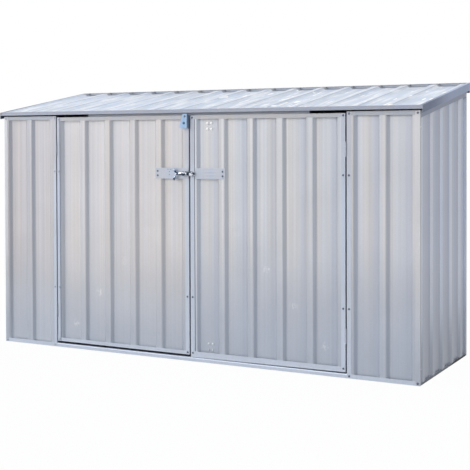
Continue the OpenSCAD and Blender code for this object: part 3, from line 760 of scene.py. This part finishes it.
def heads(name, body, spots, normal=FORWARD, profile=RIVET_PROFILE, metal=RIVET_METAL):
    """One piece of round heads, each given by its place and radius."""
    bm = bmesh.new()
    for place, radius in spots:
        add_lathe(bm, place, normal, radius, profile)
    piece(name, bm, metal, body)


SCREW_R = 0.0048
CORNER_INSET = 0.010


def screws(name, body, places, radius=SCREW_R):
    """One piece of hexagonal screw heads, each turned by a random draw."""
    bm = bmesh.new()
    for place in places:
        add_lathe(bm, place, FORWARD, radius, SCREW_PROFILE, draw.uniform(0, math.pi))
    piece(name, bm, SCREW_METAL, body)


def stile_screws(node, ends):
    """Places of the screws up a node's channels, at its ends and at the braces."""
    low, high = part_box(node)
    heights = [low.z + CORNER_INSET, *BRACE_HEIGHTS, high.z - CORNER_INSET]
    return [(x, low.y, z) for x in ends(low, high) for z in heights]


def both_sides(low, high):
    """The screws' places across a door."""
    return (low.x + CORNER_INSET, high.x - CORNER_INSET)


def middle(low, high):
    """The screws' place across a jamb."""
    return ((low.x + high.x) / 2,)


screws("left_door_screws", "left_door", stile_screws("left_door_stiles", both_sides))
screws("right_door_screws", "right_door", stile_screws("right_door_stiles", both_sides))
screws("front_frame_screws", "shed", [
    *stile_screws("left_jamb", middle), *stile_screws("right_jamb", middle),
    *[(x, FRONT, z) for x in (LEFT + CORNER_INSET, RIGHT - CORNER_INSET)
      for z in (CORNER_INSET, WALL_TOP - CORNER_INSET)],
])

# Rivets of the two shoot bolts, on the face of the right door's sheet: columns, rows and radius
RIVET_SEAT = FRONT + 0.0113
RIVET_GROUPS = (
    ((0.0855, 0.1065), (1.098, 1.126), 0.0074),
    ((0.0885, 0.1095), (0.0606, 0.0892), 0.0054),
)

heads("shoot_bolt_rivets", "right_door", [
    ((x, RIVET_SEAT, z), radius) for columns, rows, radius in RIVET_GROUPS
    for z in rows for x in columns])

# Folded drip edge under the right door, which hangs lower at its free end
DRIP_FREE_END, DRIP_HINGE_END = 0.0095, 0.0050
DRIP_LEG = 0.010
DRIP_SHEET = 0.001


def right_door_drip():
    """An angle of sheet along the foot of the right door."""
    low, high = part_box("right_door_stiles")
    front = low.y
    bm = bmesh.new()
    rings = []
    for x, drop in ((low.x, DRIP_FREE_END), (high.x, DRIP_HINGE_END)):
        foot = low.z - drop
        section = (
            (front, low.z), (front, foot), (front + DRIP_LEG, foot),
            (front + DRIP_LEG, foot + DRIP_SHEET), (front + DRIP_SHEET, foot + DRIP_SHEET),
            (front + DRIP_SHEET, low.z))
        rings.append([bm.verts.new((x, y, z)) for y, z in section])
    join_rings(bm, rings)
    bm.faces.new(rings[0])
    bm.faces.new(rings[1][::-1])
    finish = nodes["right_door_rails"].material_slots[0].material
    piece("right_door_drip", bm, finish, "right_door")


right_door_drip()

# Screws on the two lock plates, in from each plate's outer end and off its middle height
PLATE_SCREW_SEAT = FRONT - 0.0016
LEFT_PLATE_INSET, RIGHT_PLATE_INSET = 0.014, 0.012
PLATE_SCREW_RISE = 0.0105

# Small screws of the bolt's base, on the left lock plate
BASE_SCREWS = ((-0.124, 0.907), (-0.116, 0.897), (-0.116, 0.883), (-0.108, 0.907))
BASE_SCREW_R = 0.0022


def lock_plate_screws():
    """Two screws on each lock plate."""
    low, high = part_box("left_lock_plate")
    right_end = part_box("right_lock_plate")[1].x
    middle_z = (low.z + high.z) / 2
    heights = (middle_z - PLATE_SCREW_RISE, middle_z + PLATE_SCREW_RISE)
    for name, body, x in (
            ("left_plate_screws", "left_door", low.x + LEFT_PLATE_INSET),
            ("right_plate_screws", "right_door", right_end - RIGHT_PLATE_INSET)):
        screws(name, body, [(x, PLATE_SCREW_SEAT, z) for z in heights])


lock_plate_screws()
screws("bolt_base_screws", "left_door", [(x, PLATE_SCREW_SEAT, z) for x, z in BASE_SCREWS],
       BASE_SCREW_R)

# Rivets of the side walls, on the front corner channels
SIDE_RIVET_R = 0.0042
SIDE_RIVET_INSET = 0.070
SIDE_RIVET_Z = (SIDE_RIVET_INSET, WALL_TOP - SIDE_RIVET_INSET)

for side, end, outward in (("left", LEFT, -1), ("right", RIGHT, 1)):
    heads(side + "_side_rivets", "shed",
          [((end, FRONT + CORNER_INSET, z), SIDE_RIVET_R) for z in SIDE_RIVET_Z], (outward, 0, 0))

# The pull tab grows from its upper right corner, and the bolt's fork has a shorter upper arm
TAB_GROWTH = (1.19, 1.11)
FORK_ROOT = 0.026
FORK_LENGTH = 0.66
FORK_UP, FORK_DOWN = 0.55, 0.93


def grown_tab(point):
    """Where a point of the pull tab goes."""
    return Vector((TAB_HIGH.x + (point.x - TAB_HIGH.x) * TAB_GROWTH[0], point.y,
                   TAB_HIGH.z + (point.z - TAB_HIGH.z) * TAB_GROWTH[1]))


def bent_fork(point):
    """Where a point of the bolt goes: only those before the fork's root move."""
    root = BOLT_LOW.x + FORK_ROOT
    before = root - point.x
    if before <= 0:
        return point
    share = min(before / FORK_ROOT, 1.0)
    rise = point.z - BOLT_AXIS_Z
    scale = 1 + share * ((FORK_UP if rise > 0 else FORK_DOWN) - 1)
    return Vector((root - before * FORK_LENGTH, point.y, BOLT_AXIS_Z + rise * scale))


def reshaped(name, node, body, move):
    """A copy of a CAD node with its points moved, which stands for the node."""
    mesh = nodes[node].data.copy()
    for vertex in mesh.vertices:
        vertex.co = move(vertex.co)
    finish = nodes[node].material_slots[0].material
    mesh.materials.clear()
    mesh.materials.append(finish)
    mesh.polygons.foreach_set("material_index", [0] * len(mesh.polygons))
    obj = place_piece(name, mesh, body)
    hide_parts(node)


reshaped("pull_tab", "door_catch_tab", "left_door", grown_tab)
reshaped("forked_bolt", "pad_bolt", "pad_bolt", bent_fork)

# Dark eyelet, whose colour paints the shade of the pull tab's hole, and rivet on the face of the
# tab
EYELET_R = 0.0062
EYELET_FROM_CORNER = (0.013, 0.022)
TAB_RIVET_FROM_TOP = (0.010, 0.011)


def tab_fittings():
    """The dark eyelet round the pull tab's hole, painted shade for the hole, and the rivet at its
    top.
    """
    hole = Vector((TAB_HIGH.x - EYELET_FROM_CORNER[0], TAB_LOW.y,
                   TAB_LOW.z + EYELET_FROM_CORNER[1]))
    heads("tab_eyelet_shade", "left_door", [(grown_tab(hole), EYELET_R)], profile=EYELET_PROFILE,
          metal=EYELET_SHADE_METAL)
    rivet = (TAB_HIGH.x - TAB_RIVET_FROM_TOP[0], TAB_LOW.y, TAB_HIGH.z - TAB_RIVET_FROM_TOP[1])
    heads("tab_rivet", "left_door", [(rivet, SCREW_R)], metal=SCREW_METAL)


tab_fittings()

# Floor, light and background
AMBIENT = 0.40
AMBIENT_TONE = (0.95, 0.97, 1.0, 1.0)
FLOOR_BOUNCE = (0.32, 0.33, 0.35, 1.0)
FLOOR_GLOW = 0.97
FLOOR_PALE = (0.70, 0.74, 0.80, 1.0)
FLOOR_HALF = 30.0


def mixed(tree, factor, a, b):
    """A mix of the shaders of two nodes."""
    mix = tree.nodes.new("ShaderNodeMixShader")
    for socket, value in zip(mix.inputs, (factor, a.outputs[0], b.outputs[0])):
        tree.links.new(value, socket)
    return mix


def light_path_factor(tree):
    """One for rays from the camera, from gloss and through glass."""
    rays = tree.nodes.new("ShaderNodeLightPath").outputs
    seen = calc(tree, "MAXIMUM", rays["Is Camera Ray"], rays["Is Glossy Ray"])
    return calc(tree, "MAXIMUM", seen, rays["Is Transmission Ray"])


def make_world():
    """Soft ambient light, with a white background."""
    world = bpy.data.worlds.new("studio")
    bpy.context.scene.world = world
    world.use_nodes = True
    tree = world.node_tree
    ambient = tree.nodes["Background"]
    ambient.inputs["Color"].default_value = AMBIENT_TONE
    ambient.inputs["Strength"].default_value = AMBIENT
    white = tree.nodes.new("ShaderNodeBackground")
    white.inputs["Color"].default_value = WHITE
    white.inputs["Strength"].default_value = 1.0
    mix = mixed(tree, light_path_factor(tree), ambient, white)
    tree.links.new(mix.outputs[0], tree.nodes["World Output"].inputs["Surface"])


def outside_walls(tree):
    """The floor's glow: none inside the walls, where the ground lies in shade."""
    axes = tree.nodes.new("ShaderNodeSeparateXYZ")
    tree.links.new(tree.nodes.new("ShaderNodeTexCoord").outputs["Object"], axes.inputs[0])
    within = []
    for axis, low, high in (("X", LEFT, RIGHT), ("Y", FRONT, BACK)):
        after = calc(tree, "GREATER_THAN", axes.outputs[axis], low)
        before = calc(tree, "LESS_THAN", axes.outputs[axis], high)
        within.append(calc(tree, "MULTIPLY", after, before))
    level = tree.nodes.new("ShaderNodeMapRange")
    level.inputs["To Min"].default_value = FLOOR_GLOW
    level.inputs["To Max"].default_value = 0.0
    tree.links.new(calc(tree, "MULTIPLY", *within), level.inputs["Value"])
    return level.outputs[0]


def make_floor():
    """A pale floor that shows as nearly white outside the walls, and bounces less light."""
    material = bpy.data.materials.new("floor")
    material.use_nodes = True
    tree = material.node_tree
    tree.nodes.clear()
    bounce = tree.nodes.new("ShaderNodeBsdfDiffuse")
    bounce.inputs["Color"].default_value = FLOOR_BOUNCE
    pale = tree.nodes.new("ShaderNodeBsdfDiffuse")
    pale.inputs["Color"].default_value = FLOOR_PALE
    glow = tree.nodes.new("ShaderNodeEmission")
    seen = mixed(tree, outside_walls(tree), pale, glow)
    mix = mixed(tree, light_path_factor(tree), bounce, seen)
    output = tree.nodes.new("ShaderNodeOutputMaterial")
    tree.links.new(mix.outputs[0], output.inputs["Surface"])
    bm = bmesh.new()
    bmesh.ops.create_grid(bm, x_segments=1, y_segments=1, size=FLOOR_HALF)
    mesh = bpy.data.meshes.new("floor")
    bm.to_mesh(mesh)
    bm.free()
    mesh.materials.append(material)
    floor = bpy.data.objects.new("floor", mesh)
    bpy.context.scene.collection.objects.link(floor)


def make_sun(name, source, strength, softness, tone):
    """A soft distant lamp that shines from source towards the shed."""
    data = bpy.data.lights.new(name, "SUN")
    data.energy = strength
    data.angle = math.radians(softness)
    data.color = tone
    lamp = bpy.data.objects.new(name, data)
    lamp.rotation_mode = "QUATERNION"
    lamp.rotation_quaternion = Vector(source).to_track_quat("Z", "Y")
    bpy.context.scene.collection.objects.link(lamp)


make_world()
make_floor()
make_sun("key", source=(-1.05, -1.0, 0.45), strength=2.36, softness=65, tone=(1.0, 0.99, 0.98))
make_sun("top", source=(0.0, 0.35, 1.0), strength=0.79, softness=40, tone=(0.97, 0.98, 1.0))
make_sun("fill", source=(0.8, -0.7, 0.5), strength=0.30, softness=40, tone=(0.95, 0.97, 1.0))
bpy.context.scene.view_settings.view_transform = "Standard"
